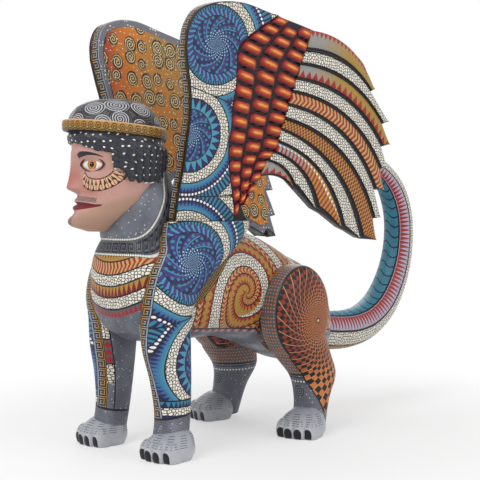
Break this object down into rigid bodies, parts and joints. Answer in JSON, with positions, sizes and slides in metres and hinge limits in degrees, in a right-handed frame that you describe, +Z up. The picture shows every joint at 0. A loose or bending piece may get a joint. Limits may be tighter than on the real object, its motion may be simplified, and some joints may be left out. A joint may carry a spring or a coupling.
{
  "type": "alebrije figure",
  "caption": "Carved and painted wooden winged lion with a man's turned head, standing on four paws; both wings lift out of the shoulders and the curved tail pulls out of the rump.",
  "frame": {"origin": "middle of the bounding box, on the floor under the paws", "axes": "+Z up, the figure faces -Y, its left side is +X"},
  "size_m": [0.1706, 0.4229, 0.3624],
  "materials": {
    "body_paint": "satin acrylic paint, ochre with red, white and black line work",
    "head_paint": "satin acrylic paint, pink skin, slate black hair and cap",
    "foreleg_paint": "satin acrylic paint, indigo and turquoise outside, grey inside",
    "hind_leg_paint": "satin acrylic paint, grey with orange dots and a red and black chequered haunch",
    "wing_paint": "satin acrylic paint, blue, orange-red tiles and patterned feathers outside, orange ochre with scrolls inside",
    "tail_paint": "satin acrylic paint, teal, red and cream",
    "bare_wood": "bare wood"
  },
  "bodies": {
    "figure": {"torso": "body_paint", "head": "head_paint", "head_dowel": "bare_wood", "foreleg_left": "foreleg_paint", "foreleg_right": "foreleg_paint", "foreleg_dowel_left": "bare_wood", "foreleg_dowel_right": "bare_wood", "hind_leg_left": "hind_leg_paint", "hind_leg_right": "hind_leg_paint", "hind_leg_dowel_left": "bare_wood", "hind_leg_dowel_right": "bare_wood"},
    "left_wing": {"wing_left": "wing_paint"},
    "right_wing": {"wing_right": "wing_paint"},
    "tail": {"tail": "tail_paint", "tail_peg": "bare_wood"}
  },
  "joints": [
    {"name": "left_wing_lift", "type": "slide", "parent": "figure", "child": "left_wing", "axis": [0.1296, -0.0159, 0.9914], "range_m": [0, 0.04]},
    {"name": "right_wing_lift", "type": "slide", "parent": "figure", "child": "right_wing", "axis": [-0.1296, -0.0159, 0.9914], "range_m": [0, 0.04]},
    {"name": "tail_pull", "type": "slide", "parent": "figure", "child": "tail", "axis": [0, 1, 0], "range_m": [0, 0.04]}
  ]
}
